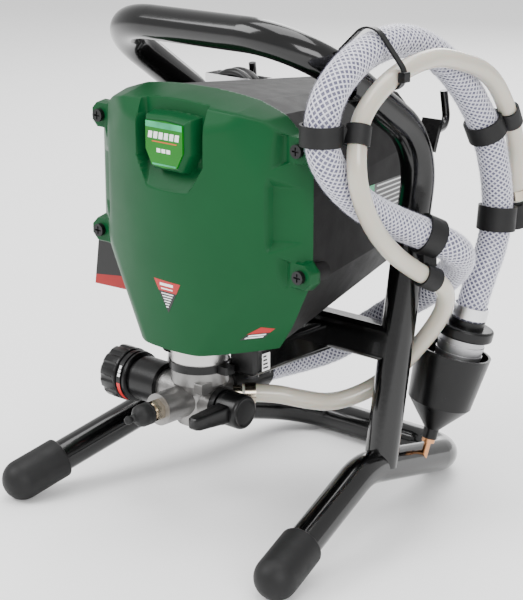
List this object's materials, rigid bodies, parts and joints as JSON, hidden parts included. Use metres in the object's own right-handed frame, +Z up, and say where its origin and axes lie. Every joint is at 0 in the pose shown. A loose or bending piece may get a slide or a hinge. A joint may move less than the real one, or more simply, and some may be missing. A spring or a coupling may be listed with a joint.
{
  "type": "airless paint sprayer",
  "caption": "Electric airless paint sprayer on a bent-tube carrying stand, with braided suction hose, drain tube, drip cup, coiled mains lead, pressure knob and prime valve.",
  "frame": {"origin": "on the floor under the middle of the machine's box, its loose lines left out", "axes": "+Z up, -Y towards the front cover and the feet's round ends, +X towards the hoses"},
  "size_m": [0.3099, 0.3054, 0.3825],
  "materials": {
    "frame_enamel": "gloss",
    "rubber_black": "matte",
    "cover_green": "satin",
    "badge_green": "gloss",
    "shroud_grey": "textured",
    "black_plastic": "satin",
    "cast_alloy": "cast",
    "steel": "machined",
    "zinc_screw": "blackened",
    "nickel_fitting": "satin",
    "copper_wire": "enamelled",
    "clear_hose": "clear, braided",
    "drain_tube": "translucent",
    "cord_rubber": "satin",
    "silver_band": "satin",
    "mesh_steel": "woven mesh",
    "board_green": "solder mask",
    "red_plastic": "satin",
    "carbon": "matte"
  },
  "bodies": {
    "root": {"badge_plate": "badge_green", "base_tube": "frame_enamel", "clamp_ring": "black_plastic", "cord_gland": "rubber_black", "cord_hank": "cord_rubber", "cord_hook": "frame_enamel", "cord_tie": "silver_band", "cover_screws": "zinc_screw", "cross_bar": "frame_enamel", "cup_stud": "copper_wire", "drain_barb": "nickel_fitting", "drain_hose": "drain_tube", "drain_hose_clamps": "nickel_fitting", "drain_nozzle": "rubber_black", "drip_cup": "black_plastic", "foot_cap_left": "rubber_black", "foot_cap_right": "rubber_black", "front_cover": "cover_green", "gear_housing": "cast_alloy", "handle_tube": "frame_enamel", "hang_tag": "red_plastic", "hose_clips": "rubber_black", "hose_hook": "frame_enamel", "housing_bolts": "zinc_screw", "mains_plug": "cord_rubber", "motor_brushes": "carbon", "motor_shroud": "shroud_grey", "motor_stator": "copper_wire", "outlet_fitting": "nickel_fitting", "packing_gland": "steel", "power_cord": "cord_rubber", "prime_valve_body": "black_plastic", "pump_cylinder": "steel", "pump_manifold": "cast_alloy", "rail_end_caps": "black_plastic", "rear_cover": "shroud_grey", "regulator_housing": "black_plastic", "regulator_spring": "steel", "shaft_bearings": "steel", "speed_control_board": "board_green", "strainer_cap": "black_plastic", "strainer_clamp": "silver_band", "strainer_screen": "mesh_steel", "suction_fitting": "black_plastic", "suction_hose": "clear_hose", "support_rails": "frame_enamel", "switch_body": "black_plastic", "zip_tie": "black_plastic"},
    "rotor": {"motor_rotor": "steel", "motor_shaft": "steel", "drive_pinion": "steel", "cooling_fan": "black_plastic"},
    "crank": {"crank_gear": "steel"},
    "piston": {"piston_yoke": "steel", "piston_rod": "steel"},
    "regulator_dial": {"pressure_knob": "black_plastic"},
    "prime_lever": {"prime_knob": "black_plastic"},
    "power_rocker": {"switch_rocker": "red_plastic"},
    "tip_cap": {"outlet_cap": "rubber_black"},
    "check_ball": {"inlet_ball": "steel"}
  },
  "joints": [
    {"name": "rotor_spin", "type": "hinge", "parent": "root", "child": "rotor", "pos_m": [0, 0.01425, 0.262], "axis": [0, 1, 0], "continuous": true},
    {"name": "crank_spin", "type": "hinge", "parent": "root", "child": "crank", "pos_m": [0, -0.04575, 0.214], "axis": [0, 1, 0], "continuous": true},
    {"name": "piston_stroke", "type": "slide", "parent": "root", "child": "piston", "axis": [0, 0, 1], "range_m": [-0.008, 0.008]},
    {"name": "pressure_knob_turn", "type": "hinge", "parent": "root", "child": "regulator_dial", "pos_m": [-0.074, -0.07375, 0.099], "axis": [-1, 0, 0], "range_deg": [0, 270]},
    {"name": "prime_valve_turn", "type": "hinge", "parent": "root", "child": "prime_lever", "pos_m": [0.035, -0.07575, 0.097], "axis": [1, 0, 0], "range_deg": [0, 90]},
    {"name": "power_switch", "type": "hinge", "parent": "root", "child": "power_rocker", "pos_m": [-0.097, 0.00125, 0.229], "axis": [0, 1, 0], "range_deg": [0, 16]},
    {"name": "tip_cap_pull", "type": "slide", "parent": "root", "child": "tip_cap", "axis": [0, -1, 0], "range_m": [0, 0.03]},
    {"name": "inlet_ball_lift", "type": "slide", "parent": "root", "child": "check_ball", "axis": [0, 0, 1], "range_m": [0, 0.002]}
  ],
  "couplings": [
    {"joint": "rotor_spin", "follows": "crank_spin", "ratio": -5}
  ]
}
